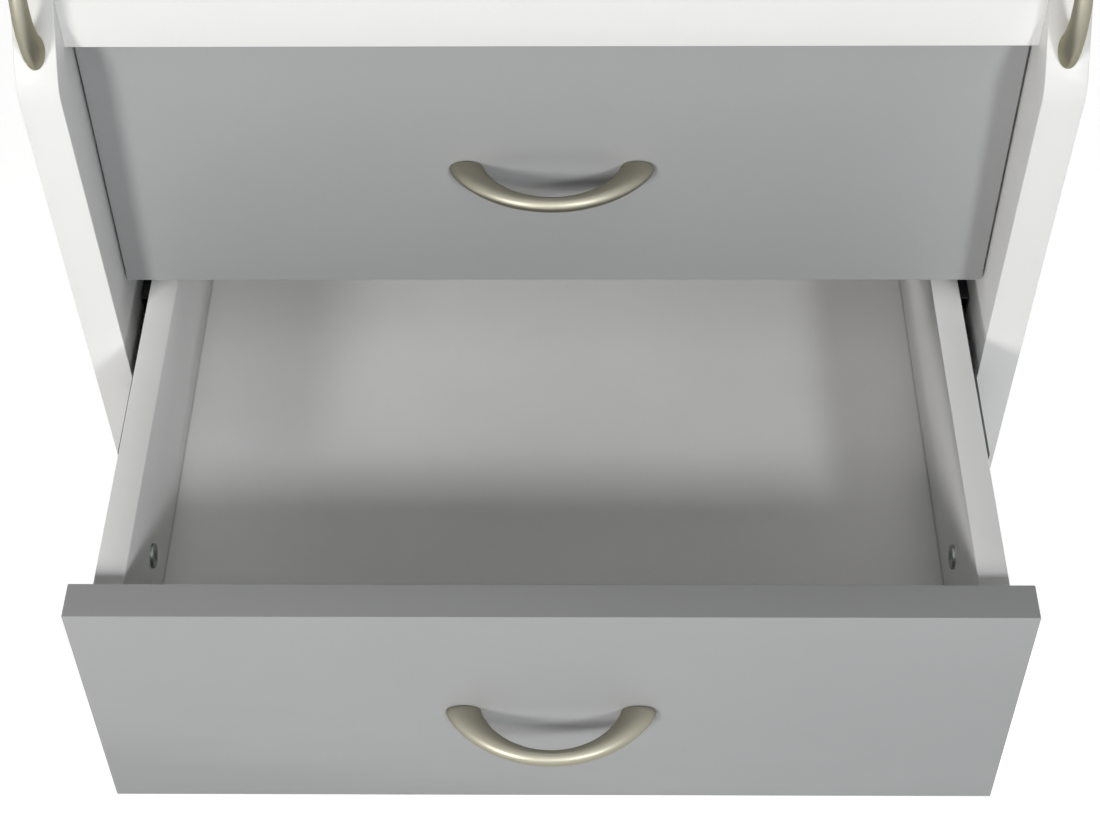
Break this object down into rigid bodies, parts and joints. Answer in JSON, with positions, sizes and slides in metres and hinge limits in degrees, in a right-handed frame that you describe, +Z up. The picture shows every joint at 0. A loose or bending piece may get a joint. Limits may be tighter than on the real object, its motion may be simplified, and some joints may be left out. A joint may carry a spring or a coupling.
{
  "type": "drawer pedestal",
  "caption": "Mobile office pedestal: flush grey drawers between kneed white cheeks, bow handles, ball-bearing runners, gallery top and swivel casters.",
  "frame": {"origin": "on the floor, at the bottom centre of the bounding box with the lower drawer pulled out as pictured", "axes": "+X to the right seen from the front, +Y from the drawer fronts to the back, +Z up"},
  "size_m": [0.5472, 0.7246, 0.555],
  "materials": {
    "white_board": "white melamine-faced chipboard, satin",
    "grey_board": "grey melamine-faced chipboard, satin",
    "white_hardboard": "white-faced hardboard, satin",
    "satin_nickel": "satin nickel plate",
    "zinc_plated_steel": "bright zinc plate",
    "runner_steel": "dark passivated sheet",
    "beech": "raw fluted beech",
    "wheel_rubber": "matt moulded rubber"
  },
  "bodies": {
    "root": {"left_cheek": "white_board", "right_cheek": "white_board", "base_panel": "white_board", "top_panel": "white_board", "fascia": "white_board", "back_panel": "white_hardboard", "back_guard": "white_board", "left_cheek_handle": "satin_nickel", "right_cheek_handle": "satin_nickel", "cheek_handle_studs": "zinc_plated_steel", "carcass_cams": "zinc_plated_steel", "carcass_cam_bolts": "zinc_plated_steel", "carcass_dowels": "beech", "back_panel_screws": "zinc_plated_steel", "upper_cabinet_runners": "runner_steel", "lower_cabinet_runners": "runner_steel", "cabinet_runner_screws": "zinc_plated_steel", "caster_plates": "zinc_plated_steel", "caster_screws": "zinc_plated_steel"},
    "upper_drawer": {"upper_front": "grey_board", "upper_left_side": "white_board", "upper_right_side": "white_board", "upper_back": "white_board", "upper_bottom": "white_hardboard", "upper_handle": "satin_nickel", "upper_handle_screws": "zinc_plated_steel", "upper_cams": "zinc_plated_steel", "upper_cam_bolts": "zinc_plated_steel", "upper_sleeve_nuts": "zinc_plated_steel", "upper_drawer_runners": "runner_steel"},
    "upper_middle_runner_pair": {"upper_middle_runners": "runner_steel"},
    "upper_outer_cage_pair": {"upper_outer_cages": "zinc_plated_steel"},
    "upper_inner_cage_pair": {"upper_inner_cages": "zinc_plated_steel"},
    "lower_drawer": {"lower_front": "grey_board", "lower_left_side": "white_board", "lower_right_side": "white_board", "lower_back": "white_board", "lower_bottom": "white_hardboard", "lower_handle": "satin_nickel", "lower_handle_screws": "zinc_plated_steel", "lower_cams": "zinc_plated_steel", "lower_cam_bolts": "zinc_plated_steel", "lower_sleeve_nuts": "zinc_plated_steel", "lower_drawer_runners": "runner_steel"},
    "lower_middle_runner_pair": {"lower_middle_runners": "runner_steel"},
    "lower_outer_cage_pair": {"lower_outer_cages": "zinc_plated_steel"},
    "lower_inner_cage_pair": {"lower_inner_cages": "zinc_plated_steel"},
    "front_left_caster_fork": {"front_left_fork": "zinc_plated_steel", "front_left_axle": "zinc_plated_steel"},
    "front_left_caster_wheel": {"front_left_wheel": "wheel_rubber"},
    "front_right_caster_fork": {"front_right_fork": "zinc_plated_steel", "front_right_axle": "zinc_plated_steel"},
    "front_right_caster_wheel": {"front_right_wheel": "wheel_rubber"},
    "rear_left_caster_fork": {"rear_left_fork": "zinc_plated_steel", "rear_left_axle": "zinc_plated_steel"},
    "rear_left_caster_wheel": {"rear_left_wheel": "wheel_rubber"},
    "rear_right_caster_fork": {"rear_right_fork": "zinc_plated_steel", "rear_right_axle": "zinc_plated_steel"},
    "rear_right_caster_wheel": {"rear_right_wheel": "wheel_rubber"}
  },
  "joints": [
    {"name": "upper_drawer_slide", "type": "slide", "parent": "root", "child": "upper_drawer", "axis": [0, -1, 0], "range_m": [0, 0.4]},
    {"name": "upper_middle_runner_pair_slide", "type": "slide", "parent": "root", "child": "upper_middle_runner_pair", "axis": [0, -1, 0], "range_m": [0, 0.2]},
    {"name": "upper_outer_cage_pair_slide", "type": "slide", "parent": "root", "child": "upper_outer_cage_pair", "axis": [0, -1, 0], "range_m": [0, 0.1]},
    {"name": "upper_inner_cage_pair_slide", "type": "slide", "parent": "root", "child": "upper_inner_cage_pair", "axis": [0, -1, 0], "range_m": [0, 0.3]},
    {"name": "lower_drawer_slide", "type": "slide", "parent": "root", "child": "lower_drawer", "axis": [0, -1, 0], "range_m": [-0.24, 0.16]},
    {"name": "lower_middle_runner_pair_slide", "type": "slide", "parent": "root", "child": "lower_middle_runner_pair", "axis": [0, -1, 0], "range_m": [-0.12, 0.08]},
    {"name": "lower_outer_cage_pair_slide", "type": "slide", "parent": "root", "child": "lower_outer_cage_pair", "axis": [0, -1, 0], "range_m": [-0.06, 0.04]},
    {"name": "lower_inner_cage_pair_slide", "type": "slide", "parent": "root", "child": "lower_inner_cage_pair", "axis": [0, -1, 0], "range_m": [-0.18, 0.12]},
    {"name": "front_left_swivel", "type": "hinge", "parent": "root", "child": "front_left_caster_fork", "pos_m": [-0.2, -0.03175, 0.061], "axis": [0, 0, 1], "continuous": true},
    {"name": "front_left_wheel_spin", "type": "hinge", "parent": "front_left_caster_fork", "child": "front_left_caster_wheel", "pos_m": [-0.2, -0.05375, 0.025], "axis": [1, 0, 0], "continuous": true},
    {"name": "front_right_swivel", "type": "hinge", "parent": "root", "child": "front_right_caster_fork", "pos_m": [0.2, -0.03175, 0.061], "axis": [0, 0, 1], "continuous": true},
    {"name": "front_right_wheel_spin", "type": "hinge", "parent": "front_right_caster_fork", "child": "front_right_caster_wheel", "pos_m": [0.2, -0.05375, 0.025], "axis": [1, 0, 0], "continuous": true},
    {"name": "rear_left_swivel", "type": "hinge", "parent": "root", "child": "rear_left_caster_fork", "pos_m": [-0.2, 0.31225, 0.061], "axis": [0, 0, 1], "continuous": true},
    {"name": "rear_left_wheel_spin", "type": "hinge", "parent": "rear_left_caster_fork", "child": "rear_left_caster_wheel", "pos_m": [-0.2, 0.29025, 0.025], "axis": [1, 0, 0], "continuous": true},
    {"name": "rear_right_swivel", "type": "hinge", "parent": "root", "child": "rear_right_caster_fork", "pos_m": [0.2, 0.31225, 0.061], "axis": [0, 0, 1], "continuous": true},
    {"name": "rear_right_wheel_spin", "type": "hinge", "parent": "rear_right_caster_fork", "child": "rear_right_caster_wheel", "pos_m": [0.2, 0.29025, 0.025], "axis": [1, 0, 0], "continuous": true}
  ],
  "couplings": [
    {"joint": "upper_middle_runner_pair_slide", "follows": "upper_drawer_slide", "ratio": 0.5},
    {"joint": "upper_outer_cage_pair_slide", "follows": "upper_drawer_slide", "ratio": 0.25},
    {"joint": "upper_inner_cage_pair_slide", "follows": "upper_drawer_slide", "ratio": 0.75},
    {"joint": "lower_middle_runner_pair_slide", "follows": "lower_drawer_slide", "ratio": 0.5},
    {"joint": "lower_outer_cage_pair_slide", "follows": "lower_drawer_slide", "ratio": 0.25},
    {"joint": "lower_inner_cage_pair_slide", "follows": "lower_drawer_slide", "ratio": 0.75}
  ]
}
